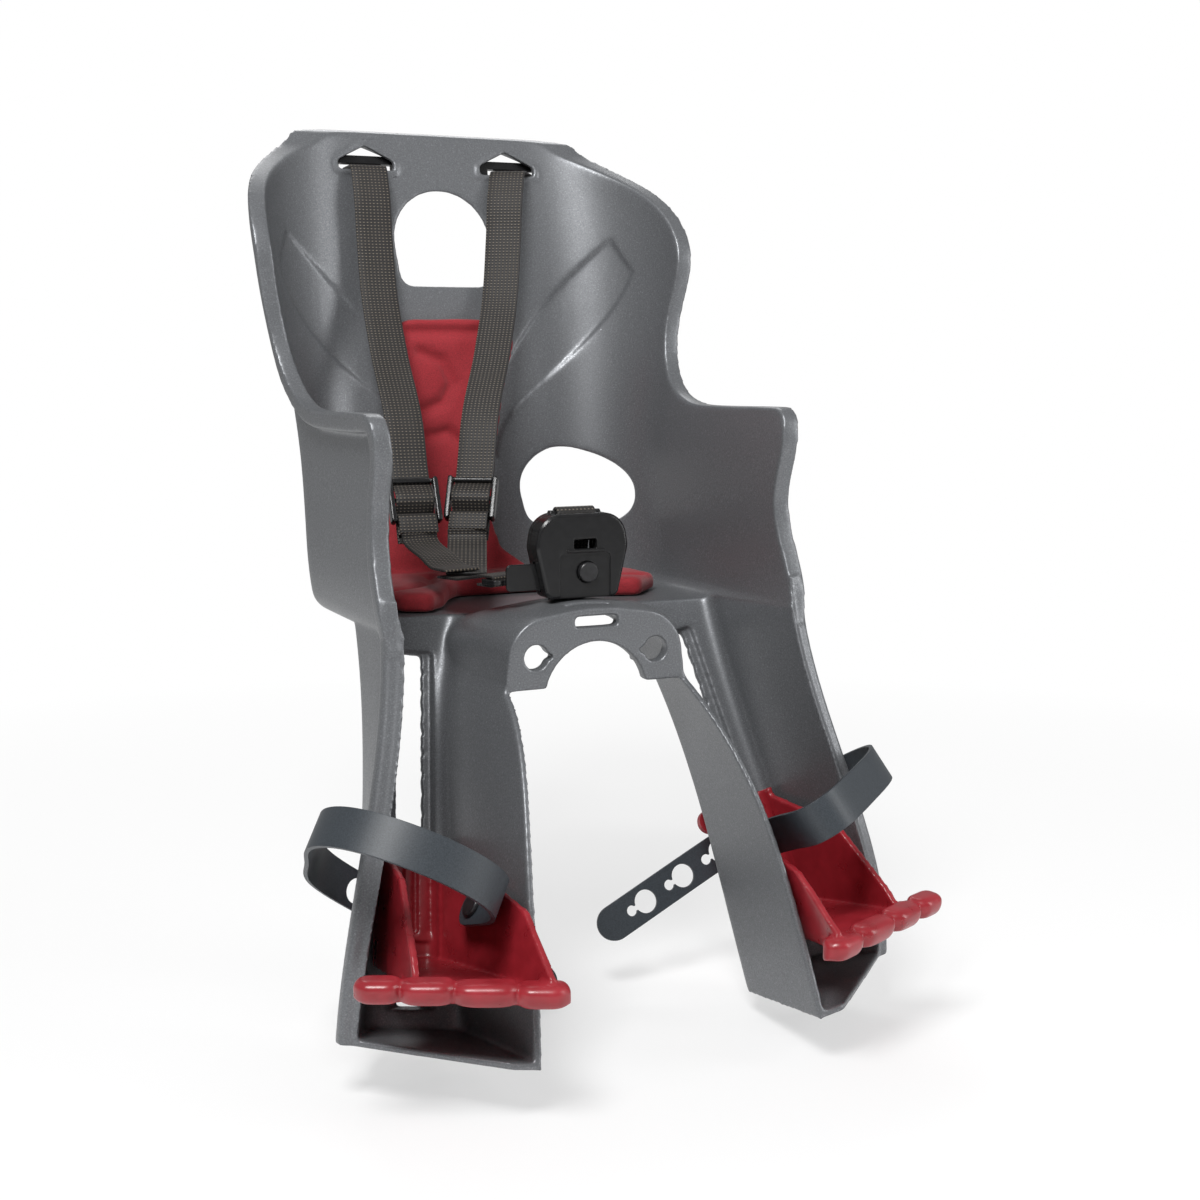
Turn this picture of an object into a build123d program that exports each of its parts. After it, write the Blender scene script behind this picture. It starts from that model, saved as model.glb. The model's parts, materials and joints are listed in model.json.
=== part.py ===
"""Front-mounted child bike seat: moulded shell, foam pad, harness, buckle and two sliding footrests."""

import os
from math import cos, hypot, radians, sin, tan

from build123d import *

os.makedirs("parts", exist_ok=True)

# Millimetres. X runs across the seat, +Y towards the backrest, +Z up.
# The origin is midway between the two keyed holes in the pommel face, where the bicycle bracket bolts on.

# Shell
wall = 4.0
back_lean = 12.0
back_top_y = 275.0
back_top_z = 326.0
floor_z = 12.0
floor_top = floor_z + wall
tub_front = -75.0
tub_corner = 14.0
side_reach = 200.0
rim_out = 7.0
rim_depth = 11.0
rim_round = 3.0
rim_samples = 14

# Tub levels: height, half-width at the front, half-width at the back, back corner radius
tub_levels = (
    (floor_z, 127.0, 123.0, 56.0),
    (90.0, 128.0, 127.0, 60.0),
    (145.0, 131.0, 131.0, 66.0),
    (200.0, 142.0, 141.0, 80.0),
    (262.0, 149.0, 148.0, 90.0),
    (335.0, 143.0, 143.0, 90.0),
)

# Side view of the edge, as (y, z): arm front, arm top, notch, wing and top rim
arm_edge = (
    (-17.0, floor_z - 2.0), (-9.0, 33.0), (5.0, 66.0), (7.0, 92.0),
    (-1.0, 119.0), (2.0, 136.0), (16.0, 142.5),
)
wing_edge = (
    (96.0, 141.0), (122.0, 142.0), (150.0, 150.0), (172.0, 172.0), (178.0, 205.0),
    (175.0, 240.0), (190.0, 266.0), (216.0, 287.0), (240.0, 301.0), (263.0, 317.0), (300.0, 330.0),
)

# Leg channels
leg_lean = 24.8
leg_back_y = -4.0
leg_back_z = -187.0
leg_corner = 14.0
leg_floor_origin = (93.0, -10.0, -216.0)
leg_floor_normal = (-0.18, 0.17, 1.0)

# Side view of the inner leg wall's front edge, as (y, z)
inner_edge = ((0.0, -19.0), (-30.0, -38.0), (-57.0, -67.0), (-86.0, -120.0), (-112.0, -187.0), (-122.0, -224.0))
inner_reach_y = -132.0
inner_edge_x = 104.0
front_edge_bottom = -240.0

# Leg levels: height, inner front x and y, inner back x, outer back x, outer front x and y
leg_levels = (
    (40.0, 14.0, -2.0, 40.0, 124.0, 128.0, -8.0),
    (-40.0, 60.0, -38.0, 71.5, 127.5, 137.0, -28.0),
    (-120.0, 76.0, -97.0, 83.5, 140.0, 157.5, -47.0),
    (-228.0, 91.0, -128.0, 91.0, 160.0, 169.0, -44.0),
)

# Leg slot for the footrest
slot_top_x = 90.0
slot_top_z = -5.0
slot_bottom_x = 122.5
slot_bottom_z = -193.0
slot_width = 15.0
slot_ledge = 6.5
slot_recess = 3.0
slot_backing = 3.0
notch_pitch = 12.5
notch_radius = 1.8
notch_bite = 1.0

# Pommel
pommel_width = 117.0
pommel_base_z = -19.0
pommel_top_z = 28.5
pommel_face = 9.0
pommel_end = 95.0
arch_radius = 33.0
arch_center_z = -26.0
bracket_spacing = 77.5
bracket_hole = 15.0
bracket_key = 3.0
face_slot = (28.0, 6.3)
face_slot_z = 19.0
crotch_slot = (30.0, 4.5)
crotch_slot_y = (14.0, 44.0)

# Openings in the backrest
head_hole_width = 70.0
head_hole_bottom = 221.0
head_hole_top = 287.0
chevron_x = 52.0
chevron_z = 308.0
chevron_width = 40.0
chevron_height = 16.0
border = 1.4
border_width = 3.0
hip_center = (83.0, 211.0, 81.0)
hip_angle = 24.0
hip_outline = (
    (40, -6), (36, 16), (20, 27), (-4, 25), (-26, 16),
    (-39, 2), (-38, -14), (-20, -26), (14, -28), (34, -22),
)
groove = 1.5
groove_upper = ((118.0, 256.0), (84.0, 222.0), (53.0, 187.0), (30.0, 154.0), (14.0, 108.0))
groove_lower = ((128.0, 232.0), (99.0, 184.0), (66.0, 154.0), (40.0, 132.0), (27.0, 100.0))

# Webbing
webbing_width = 25.0
webbing = 1.6
slack = 0.4

# Pad: side thickness, front outline of the back part as (x, z), plan outline of the seat part as (x, y)
pad_thickness = 12.0
pad_top = 198.0
pad_back = (
    (44, 198), (42, 178), (32, 150), (22, 110), (15, 60), (20, 42), (50, 20), (50, 10),
    (-80, 10), (-78, 24), (-64, 42), (-57, 70), (-51, 110), (-46, 150), (-44, 198),
)
pad_seat = (
    (40, 150), (55, 114), (80, 106), (104, 132), (101, 162), (84, 182), (56, 194), (-56, 194), (-84, 182),
    (-98, 160), (-96, 122), (-88, 98), (-72, 88), (-58, 104), (-44, 131), (-30, 150),
)

# Harness: strap position at the backrest, then the middle of each adjuster as (x, y, z)
strap_x = 52.0
strap_y = 262.0
strap_z = 302.0
strap_tail = 26.0
strap_route = ((252.0, 288.0), (244.0, 255.0), (232.0, 215.0), (205.0, 175.0), (165.0, 130.0))
adjuster_y = 140.0
adjuster_z = 82.0
adjuster_x = (-64.0, -25.0)
adjuster_width = 33.0
adjuster_pitch = 13.5
adjuster_bar = 3.4
adjuster_rail = 7.0
weave = 3.3
join = (-55.0, 79.0, 41.0)
retainer_width = 52.0
retainer_height = 16.0
retainer_thickness = 4.0

# Buckle
tongue_center = (-40.0, 41.0, 41.0)
tongue_thickness = 3.0
tongue_length = 14.0
buckle_y = 20.0
buckle_depth = 11.0
buckle_wall = 3.0
buckle_bottom = 30.5
buckle_top = 81.0
buckle_back_depth = 5.0
bar_radius = 2.5
bar_z = 80.0
button_radius = 6.0
button_z = 46.0
button_x = 3.0
button_travel = 1.8
button_gap = 0.4
spring_radius = 4.0
spring_wire = 0.8
spring_turns = 2.5
buckle_window = (15.0, 6.0)
crotch_bottom = 17.2

# Footrest, placed along the slot from the slot's middle
rest_along = -44.4
plate_height = 71.0
plate_inner = 17.0
plate_outer = 24.0
plate_depth = 12.4
plate_wall = 4.0
plate_corner = 11.0
neck_width = 14.0
neck_height = 40.0
panel_x = -5.5
panel_width = 22.0
panel_height = 52.0
rib_offset = 4.6
rib_groove = 3.4
sole_z = -182.8
sole_slope_x = 0.1213
sole_slope_y = -0.1748
sole_thickness = 5.0
sole_outline = (
    (103, -3), (137, -3), (142, -45), (150, -76), (179.4, -92), (79.5, -135), (84, -122), (90, -105),
)
toe_outer = (179.4, -92.0)
toe_inner = (79.5, -135.0)
toe_widths = (22.7, 27.8, 32.5, 25.8)
toe_depth = 16.0
toe_height = 13.0
toe_crown = 3.5
toe_overlap = 3.0

# Side walls of the footrest: a point ahead on the sole, then the outline as distance ahead and height up the slot
gusset = 4.0
inner_target = (91.0, -105.0, -154.4)
inner_outline = ((0, -3), (0, 71), (106, 39), (134, 6), (134, -4))
outer_target = (148.0, -88.0, -150.0)
outer_outline = ((0, -3), (0, 71), (67, 52), (94, 14), (98, 5), (98, -4))

# Lock behind the slot
lock_width = 34.0
lock_height = 62.0
lock_thickness = 5.0
tab_radius = 7.5
screw_radius = 2.5
screw_head = 4.5
screw_head_height = 3.0

# Foot straps: plane height at the centre line, slopes along x and y, route as (x, y) without its side's sign
band_width = 22.5
band_thickness = 2.5
left_band = (-207.3, 0.62, -0.40)
left_route = (
    (99.3, -36), (97.5, -50), (95, -69), (96.5, -84), (104, -97), (120, -105), (150, -100), (178, -75),
    (185, -45), (178, -15), (172, 10), (164, 27), (140, 41), (110, 46), (72, 47), (7, 48),
)
right_band = (-179.9, 0.51, -0.442)
right_route = (
    (101.5, -8), (100, -22), (97.5, -45), (94.5, -68), (91.5, -86), (94, -97), (103, -99), (116, -93),
    (135, -79), (163, -55), (178, -28), (179, -5), (170, 18), (148, 36), (115, 46), (72, 48), (24, 48),
)
stud_along = 14.0
stud_boss = 6.0
stud_reach = 8.5
stud_hole = 5.0
keyhole_first = 36.0
keyhole_count = 5
keyhole_big = 7.5
keyhole_small = 3.4
keyhole_step = 11.0
keyhole_pitch = 30.0
stud_radius = 7.0


def back_y(z):
    """Outer face of the backrest on the centre line at height z."""
    return back_top_y - (back_top_z - z) * tan(radians(back_lean))


def leg_y(z):
    """Rear face of a leg channel's back wall at height z."""
    return leg_back_y + (z - leg_back_z) * tan(radians(leg_lean))


def tub_outline(level, grow, front):
    """Plan outline of the tub at one level, grown outwards by a distance."""
    z, front_x, back_x, corner = level
    back = back_y(z) + grow
    with BuildSketch(Plane.XY.offset(z)) as outline:
        with BuildLine():
            Polyline(
                (-front_x - grow, front), (-back_x - grow, back),
                (back_x + grow, back), (front_x + grow, front), close=True,
            )
        make_face()
        fillet(outline.vertices().sort_by(Axis.Y)[-2:], corner + grow)
    return outline.sketch


def leg_outline(level, inset, reach):
    """Plan outline of the right leg channel at one level, inset by a wall and open to the front by a reach."""
    z, inner_x, inner_y, inner_back, outer_back, outer_x, outer_y = level
    back = leg_y(z) - inset / cos(radians(leg_lean))
    inner_slope = (inner_x - inner_back) / (back - inner_y)
    outer_slope = (outer_x - outer_back) / (back - outer_y)
    inner_reach = inner_y - inner_reach_y + reach
    with BuildSketch(Plane.XY.offset(z)) as outline:
        with BuildLine():
            Polyline(
                (inner_x + inset + inner_slope * inner_reach, inner_y - inner_reach),
                (inner_back + inset, back),
                (outer_back - inset, back),
                (outer_x - inset + outer_slope * reach, outer_y - reach),
                close=True,
            )
        make_face()
        fillet(outline.vertices().sort_by(Axis.Y)[-2:], leg_corner - inset)
    return outline.sketch


with BuildPart() as tub_outer:
    for level in tub_levels:
        add(tub_outline(level, 0.0, tub_front))
    loft()
    fillet(tub_outer.faces().sort_by(Axis.Z)[0].edges().filter_by(lambda e: e.center().Y > tub_front + 1), tub_corner)

with BuildPart() as tub_inner:
    for level in tub_levels:
        add(tub_outline(level, -wall, tub_front - 20))
    loft()
    split(bisect_by=Plane.XY.offset(floor_top), keep=Keep.TOP)
    fillet(
        tub_inner.faces().sort_by(Axis.Z)[0].edges().filter_by(lambda e: e.center().Y > tub_front),
        tub_corner - wall,
    )

with BuildPart() as tub_rim:
    for level in tub_levels:
        add(tub_outline(level, rim_out, tub_front))
    loft()

with BuildSketch(Plane.YZ) as edge_profile:
    with BuildLine():
        arm = Spline(*arm_edge, tangents=((1, 1.3), (1, -0.02)))
        wing = Spline(*wing_edge, tangents=((1, 0), (1, 0.1)))
        Polyline(arm @ 1, wing @ 0)
        Polyline(wing @ 1, (330, 345), (330, floor_z - 30), (arm_edge[0][0], floor_z - 30), arm @ 0)
    make_face()

inner_edge_points = []
for curve in (arm, wing):
    for step in range(rim_samples + 1):
        tangent = curve % (step / rim_samples)
        inner_edge_points.append(curve @ (step / rim_samples) + Vector(tangent.Y, -tangent.X) * rim_depth)

with BuildPart() as rim_band:
    with BuildSketch(Plane.YZ.offset(-side_reach)):
        with BuildLine():
            outer_arm = Spline(*arm_edge, tangents=((1, 1.3), (1, -0.02)))
            outer_wing = Spline(*wing_edge, tangents=((1, 0), (1, 0.1)))
            inner_band = Spline(*inner_edge_points)
            Line(outer_arm @ 1, outer_wing @ 0)
            Line(outer_wing @ 1, inner_band @ 1)
            Line(inner_band @ 0, outer_arm @ 0)
        make_face()
    extrude(amount=2 * side_reach)
    add(tub_rim.part, mode=Mode.INTERSECT)


def floor_plane(height):
    """Floor of the right leg channel, square to the leg and raised by a height."""
    normal = Vector(*leg_floor_normal).normalized()
    return Plane(Vector(*leg_floor_origin) + normal * height, z_dir=normal)


with BuildPart() as leg_outer:
    for level in leg_levels:
        add(leg_outline(level, 0.0, 0.0))
    loft()
    split(bisect_by=floor_plane(0), keep=Keep.TOP)

with BuildPart() as leg_inner:
    for level in leg_levels:
        add(leg_outline(level, wall, 60.0))
    loft()
    split(bisect_by=floor_plane(wall), keep=Keep.TOP)

with BuildPart() as leg_rim:
    for level in leg_levels:
        z, outer_x, outer_y = level[0], level[5], level[6]
        with BuildSketch(Plane.XY.offset(z)):
            with Locations((outer_x - wall, outer_y)):
                RectangleRounded(wall + rim_out, rim_depth, rim_round, align=(Align.MIN, Align.MIN))
    loft()
    split(bisect_by=floor_plane(0), keep=Keep.TOP)


def arch_outline(y, half_width, top, base):
    """Arched cross-section of the pommel tunnel at depth y."""
    shoulder = top - 8.0
    with BuildSketch(Plane.XZ.offset(-y)) as outline:
        with BuildLine():
            Polyline(
                (-half_width, base), (-half_width + 4.5, shoulder), (0, top),
                (half_width - 4.5, shoulder), (half_width, base), close=True,
            )
        make_face()
        fillet(outline.vertices().sort_by(Axis.Y)[-1], 120)
        fillet(outline.vertices().filter_by(lambda v: abs(v.Y - shoulder) < 0.01), 26)
    return outline.sketch


pommel_half = pommel_width / 2
with BuildPart() as hood_outer:
    add(arch_outline(0, pommel_half, pommel_top_z, pommel_base_z))
    add(arch_outline(45, pommel_half + 6, pommel_top_z + 1, pommel_base_z))
    add(arch_outline(pommel_end, pommel_half + 14, floor_top + 1, pommel_base_z - 5))
    loft()

with BuildPart() as hood_inner:
    add(arch_outline(pommel_face, pommel_half - wall, pommel_top_z - wall, pommel_base_z - 20))
    add(arch_outline(45, pommel_half + 6 - wall, pommel_top_z + 1 - wall, pommel_base_z - 20))
    add(arch_outline(pommel_end + 1, pommel_half + 14 - wall, floor_top + 1 - wall, pommel_base_z - 20))
    loft()


def slot_plane(side):
    """Front face of a leg's back wall, centred on its slot, with y running up the slot."""
    top_x, bottom_x = side * slot_top_x, side * slot_bottom_x
    rise = slot_top_z - slot_bottom_z
    middle_z = (slot_top_z + slot_bottom_z) / 2
    up = Vector(top_x - bottom_x, rise * tan(radians(leg_lean)), rise).normalized()
    normal = Vector(0, -cos(radians(leg_lean)), sin(radians(leg_lean)))
    front = leg_y(middle_z) - wall / cos(radians(leg_lean))
    return Plane(((top_x + bottom_x) / 2, front, middle_z), x_dir=up.cross(normal), z_dir=normal)


slot_length = hypot(slot_bottom_x - slot_top_x, (slot_top_z - slot_bottom_z) / cos(radians(leg_lean)))
recess_width = slot_width + 2 * slot_ledge
notch_count = int(slot_length / notch_pitch)


def chevron_outline(side, grow):
    """Strap slot with a pitched top, seen from the front."""
    half = chevron_width / 2 + grow
    low, high = -chevron_height / 2 - grow, chevron_height / 2 + grow
    middle = side * chevron_x
    with BuildSketch(Plane.XZ.offset(-225)) as outline:
        with BuildLine():
            Polyline(
                (middle - half, chevron_z + low), (middle + half, chevron_z + low),
                (middle + half, chevron_z + low + 6 + grow), (middle, chevron_z + high),
                (middle - half, chevron_z + low + 6 + grow), close=True,
            )
        make_face()
        fillet(outline.vertices(), 1.5 + grow / 2)
    return outline.sketch


def groove_outline(side):
    """Swept band pressed into the backrest beside the pad, seen from the front."""
    with BuildSketch(Plane.XZ.offset(-110)) as outline:
        with BuildLine():
            upper = Spline(*[(side * x, z) for x, z in groove_upper])
            lower = Spline(*[(side * x, z) for x, z in groove_lower])
            Line(upper @ 0, lower @ 0)
            Line(upper @ 1, lower @ 1)
        make_face()
    return outline.sketch


def hip_plane(side):
    """Plane facing outwards through the middle of a hip opening."""
    x, y, z = hip_center
    outward = (side * sin(radians(hip_angle)), cos(radians(hip_angle)), 0)
    across = (-cos(radians(hip_angle)), side * sin(radians(hip_angle)), 0)
    return Plane((side * x, y, z), x_dir=across, z_dir=outward)


with BuildPart() as grooves:
    for side in (-1, 1):
        add(groove_outline(side))
        extrude(amount=150, dir=(0, 1, 0))

with BuildPart() as groove_skin:
    for level in tub_levels:
        add(tub_outline(level, groove - wall, tub_front - 20))
    loft()
    add(grooves.part, mode=Mode.INTERSECT)

with BuildPart() as border_blank:
    for side in (-1, 1):
        add(chevron_outline(side, border_width))
        extrude(amount=60, dir=(0, 1, 0))

with BuildPart() as border_skin:
    for level in tub_levels:
        add(tub_outline(level, -1.0, tub_front - 20))
    loft()
    add(border_blank.part, mode=Mode.INTERSECT)

with BuildPart() as border_void:
    for level in tub_levels:
        add(tub_outline(level, -wall - border, tub_front - 30))
    loft()

with BuildPart() as borders:
    add(border_skin.part)
    add(border_void.part, mode=Mode.SUBTRACT)

with BuildPart() as shell:
    with BuildSketch(Plane.YZ.offset(-side_reach)):
        add(edge_profile.sketch_local)
    extrude(amount=2 * side_reach)
    add(tub_outer.part, mode=Mode.INTERSECT)
    add(rim_band.part)
    add(leg_outer.part)
    add(leg_rim.part)
    mirror(leg_outer.part, about=Plane.YZ)
    mirror(leg_rim.part, about=Plane.YZ)
    add(tub_inner.part, mode=Mode.SUBTRACT)
    with Locations((0, leg_y(floor_z) - wall, floor_top + 1)):
        Box(
            2 * pommel_half - 8, 240, floor_top + 1 - pommel_base_z,
            align=(Align.CENTER, Align.MAX, Align.MAX), mode=Mode.SUBTRACT,
        )
    add(leg_inner.part, mode=Mode.SUBTRACT)
    mirror(leg_inner.part, about=Plane.YZ, mode=Mode.SUBTRACT)
    with BuildSketch(Plane.YZ.offset(-inner_edge_x)):
        with BuildLine():
            front_edge = Spline(*inner_edge)
            Polyline(front_edge @ 1, (-160, front_edge_bottom), (-160, 60), (0, 60), front_edge @ 0)
        make_face()
    extrude(amount=2 * inner_edge_x, mode=Mode.SUBTRACT)
    add(hood_outer.part)
    add(hood_inner.part, mode=Mode.SUBTRACT)
    with BuildSketch(Plane.XZ.offset(1)):
        with Locations((0, arch_center_z)):
            Circle(arch_radius)
            Rectangle(2 * arch_radius, 20, align=(Align.CENTER, Align.MAX))
        with Locations((0, face_slot_z)):
            RectangleRounded(*face_slot, 1.5)
        for side in (-1, 1):
            with Locations((side * bracket_spacing / 2, 0)):
                Circle(bracket_hole / 2)
            with Locations((side * (bracket_spacing - bracket_hole) / 2, 0)):
                Rectangle(2 * bracket_key, bracket_key)
    extrude(amount=-pommel_face - 2, mode=Mode.SUBTRACT)
    with BuildSketch(Plane.XY.offset(pommel_top_z + 10)):
        for y in crotch_slot_y:
            with Locations((0, y)):
                RectangleRounded(*crotch_slot, 1.5)
    extrude(amount=-30, mode=Mode.SUBTRACT)
    for side in (-1, 1):
        frame = slot_plane(side)
        with BuildSketch(frame.offset(-wall + 1)):
            Rectangle(recess_width + 6, slot_length + 12)
        extrude(amount=-slot_backing - 1)
        with BuildSketch(frame.offset(2)):
            Rectangle(recess_width, slot_length + 4)
        extrude(amount=-slot_recess - 2, mode=Mode.SUBTRACT)
        with BuildSketch(frame.offset(2)):
            Rectangle(slot_width, slot_length)
            with GridLocations(0, notch_pitch, 1, notch_count):
                with Locations((slot_width / 2 + notch_bite - notch_radius, 0)):
                    Circle(notch_radius)
        extrude(amount=-wall - slot_backing - 6, mode=Mode.SUBTRACT)
    with BuildSketch(Plane.XZ.offset(-190)):
        with BuildLine():
            sides = head_hole_top - head_hole_width * 0.56
            Polyline(
                (-head_hole_width / 2, sides), (-head_hole_width / 2 + 3, head_hole_bottom),
                (head_hole_width / 2 - 3, head_hole_bottom), (head_hole_width / 2, sides),
            )
            ThreePointArc((-head_hole_width / 2, sides), (0, head_hole_top), (head_hole_width / 2, sides))
        head_face = make_face()
        fillet(head_face.vertices().sort_by(Axis.Y)[:2], 9)
    extrude(amount=-110, mode=Mode.SUBTRACT)
    add(groove_skin.part, mode=Mode.SUBTRACT)
    add(borders.part)
    for side in (-1, 1):
        add(chevron_outline(side, 0.0))
        extrude(amount=70, dir=(0, 1, 0), mode=Mode.SUBTRACT)
        with BuildSketch(hip_plane(side).offset(-45)):
            with BuildLine():
                Spline(*hip_outline, periodic=True)
            make_face()
        extrude(amount=100, mode=Mode.SUBTRACT)
shell.part.label = "shell"
export_step(shell.part, "parts/shell.step")

pad_bottom = floor_top + slack
seat_top = pad_bottom + pad_thickness
pad_rear = wall + slack
pad_reach = back_y(pad_bottom) - pad_rear

with BuildPart() as pad_back_blank:
    with BuildSketch(Plane.XZ.offset(-60)) as front_view:
        with BuildLine():
            Polyline(*pad_back, close=True)
        make_face()
        fillet(front_view.vertices().sort_by(Axis.Y)[-2:], 14)
    extrude(amount=220, dir=(0, 1, 0))

with BuildPart() as seat_pad:
    with BuildSketch(Plane.YZ.offset(-110)) as pad_side:
        with BuildLine():
            Polyline(
                (pad_reach - 30, pad_bottom), (pad_reach, pad_bottom),
                (back_y(pad_top) - pad_rear, pad_top), (back_y(pad_top) - pad_rear - pad_thickness, pad_top),
                (back_y(seat_top) - pad_rear - pad_thickness, seat_top), (pad_reach - 30, seat_top), close=True,
            )
        make_face()
        fillet(pad_side.vertices().filter_by(lambda v: v.X > pad_reach - 1 and v.Y < pad_top - 1), 16)
    extrude(amount=220)
    add(pad_back_blank.part, mode=Mode.INTERSECT)
    with BuildSketch(Plane.XY.offset(pad_bottom)) as plan_view:
        with BuildLine():
            Polyline(*pad_seat, close=True)
        make_face()
        fillet(plan_view.vertices().filter_by(lambda v: v.Y < 170), 6)
    extrude(amount=pad_thickness)
    fillet(seat_pad.edges().filter_by(lambda e: abs(e.center().Z - seat_top) < 0.1 and e.center().Y < 150), 3)
seat_pad.part.label = "seat_pad"
export_step(seat_pad.part, "parts/seat_pad.step")


def run_plane(start, end):
    """Upright plane along a strap's run in plan, with x along the run and z sideways."""
    along = Vector(end[0] - start[0], end[1] - start[1], 0).normalized()
    return Plane(start, x_dir=along, z_dir=along.cross(Vector(0, 0, 1)))


adjuster_reach = adjuster_pitch + adjuster_bar / 2
for side, name in ((-1, "left"), (1, "right")):
    middle_x = adjuster_x[(side + 1) // 2]
    run = run_plane((middle_x, adjuster_y, adjuster_z), (side * strap_x, strap_y, adjuster_z))
    reach = 1 / run.x_dir.Y
    route = [((y - adjuster_y) * reach, z - adjuster_z) for y, z in strap_route]
    tilt = Vector(*route[-1]).normalized()
    level = ((strap_y - adjuster_y) * reach, strap_z - adjuster_z)
    nose = (level[0] - 9, level[1] - 2.5)
    bend = ((nose[0] + route[0][0]) / 2, (nose[1] + route[0][1]) / 2)

    def woven(along, height):
        """Point in the strap's plane from a distance up the adjuster and a height over its face."""
        return (tilt.X * along - tilt.Y * height, tilt.Y * along + tilt.X * height)

    with BuildPart() as shoulder_strap:
        with BuildSketch(run.offset(-webbing_width / 2)):
            with BuildLine():
                FilletPolyline(
                    (level[0] + strap_tail, level[1] - 9), (level[0] + strap_tail, level[1]),
                    (level[0] - 4, level[1]), radius=2,
                )
                FilletPolyline((level[0] - 4, level[1]), nose, bend, radius=4)
                FilletPolyline(bend, *route, woven(20, -weave), woven(17, -weave), radius=18)
                FilletPolyline(
                    woven(17, -weave), woven(adjuster_pitch, -weave), woven(0, weave), woven(-5.5, weave - 2.2),
                    radius=3,
                )
            trace(line_width=webbing)
        extrude(amount=webbing_width)
    shoulder_strap.part.label = f"shoulder_strap_{name}"
    export_step(shoulder_strap.part, f"parts/shoulder_strap_{name}.step")

    bar_plane = Plane(run.from_local_coords(Vector(0, 0, 0)), x_dir=run.z_dir, z_dir=run.from_local_coords(
        Vector(-tilt.Y, tilt.X, 0)) - run.origin)
    with BuildPart() as strap_adjuster:
        for bar in (-adjuster_pitch, 0, adjuster_pitch):
            end = run.offset(-adjuster_width / 2 + 1)
            with BuildSketch(end):
                with Locations(woven(bar, 0)):
                    Circle(adjuster_bar / 2)
            extrude(amount=adjuster_width - 2)
        for rail in (-1, 1):
            with BuildSketch(bar_plane.offset(-adjuster_rail / 2)):
                with Locations((rail * (adjuster_width - adjuster_bar) / 2, 0)):
                    RectangleRounded(adjuster_bar, 2 * adjuster_reach, 1.5)
            extrude(amount=adjuster_rail)
    strap_adjuster.part.label = f"strap_adjuster_{name}"
    export_step(strap_adjuster.part, f"parts/strap_adjuster_{name}.step")

    loop = adjuster_bar / 2 + slack + webbing / 2 + 0.2
    leave = run.from_local_coords(Vector(*woven(-adjuster_pitch - 10, loop), 0))
    drop = run_plane((leave.X, leave.Y, 0), (join[0] + side * 3, join[1], 0))
    fall = hypot(join[0] + side * 3 - leave.X, join[1] - leave.Y)
    flat = join[2] + 2.2 - side * 1.2
    with BuildPart() as lap_strap:
        with BuildSketch(run.offset(-webbing_width / 2)):
            with BuildLine():
                Line(woven(-adjuster_pitch - 9, -loop), woven(-adjuster_pitch, -loop))
                ThreePointArc(
                    woven(-adjuster_pitch, -loop), woven(-adjuster_pitch + loop, 0), woven(-adjuster_pitch, loop),
                )
                Line(woven(-adjuster_pitch, loop), woven(-adjuster_pitch - 11, loop))
            trace(line_width=webbing)
        extrude(amount=webbing_width)
        with BuildSketch(drop.offset(-webbing_width / 2)):
            with BuildLine():
                Spline(
                    (-2 * tilt.X, leave.Z + 2 * tilt.Y), (fall - 24, flat + 5), (fall - 8, flat),
                    tangents=((tilt.X, -tilt.Y), (1, 0)),
                )
                Line((fall - 8, flat), (fall + 6, flat))
            trace(line_width=webbing)
        extrude(amount=webbing_width)
    lap_strap.part.label = f"lap_strap_{name}"
    export_step(lap_strap.part, f"parts/lap_strap_{name}.step")

    with BuildPart() as strap_retainer:
        outward = Vector(0, cos(radians(back_lean)), -sin(radians(back_lean)))
        behind_y = back_y(strap_z) + 0.5
        behind_x = side * strap_x + (behind_y + retainer_thickness / 2 - strap_y) * run.x_dir.X / run.x_dir.Y
        behind = Plane((behind_x, behind_y, strap_z), x_dir=(-1, 0, 0), z_dir=outward)
        with BuildSketch(behind):
            RectangleRounded(retainer_width, retainer_height, 4)
            Rectangle(38, 5, mode=Mode.SUBTRACT)
        extrude(amount=retainer_thickness)
    strap_retainer.part.label = f"strap_retainer_{name}"
    export_step(strap_retainer.part, f"parts/strap_retainer_{name}.step")

tongue_middle = Vector(*tongue_center)
tongue_run = run_plane((join[0], join[1], 0), (tongue_middle.X, tongue_middle.Y, 0))
tongue_reach = hypot(tongue_middle.X - join[0], tongue_middle.Y - join[1])
frame_low = tongue_middle.Z - tongue_thickness / 2
over = tongue_middle.Z + tongue_thickness / 2 + slack + webbing / 2
under = frame_low - slack - webbing / 2

with BuildPart() as tongue_strap:
    with BuildSketch(tongue_run.offset(-webbing_width / 2)):
        with BuildLine():
            FilletPolyline(
                (-9, join[2] - 1.4), (9, join[2] - 1.4), (tongue_reach - 12, over), (tongue_reach, over),
                (tongue_reach, under), (tongue_reach - 14, under), radius=1.2,
            )
        trace(line_width=webbing)
    extrude(amount=webbing_width)
tongue_strap.part.label = "tongue_strap"
export_step(tongue_strap.part, "parts/tongue_strap.step")

blade_y = buckle_y + buckle_depth - 2.8
blade_z = tongue_middle.Z + 2.5
with BuildPart() as buckle_tongue:
    with BuildSketch(Plane((tongue_middle.X, tongue_middle.Y, frame_low), x_dir=tongue_run.x_dir)):
        RectangleRounded(tongue_length, webbing_width + 8, 3)
        with Locations((0.5, 0)):
            RectangleRounded(5, webbing_width + 2, 1, mode=Mode.SUBTRACT)
    extrude(amount=tongue_thickness)
    with BuildSketch(Plane.XZ.offset(-blade_y)):
        with Locations((-27, blade_z)):
            RectangleRounded(38, 16, 3)
    extrude(amount=1.6, dir=(0, 1, 0))
    with Locations((-46, blade_y, frame_low)):
        Box(10, tongue_middle.Y - 5 - blade_y, tongue_thickness, align=(Align.MIN, Align.MIN, Align.MIN))
buckle_tongue.part.label = "buckle_tongue"
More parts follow.
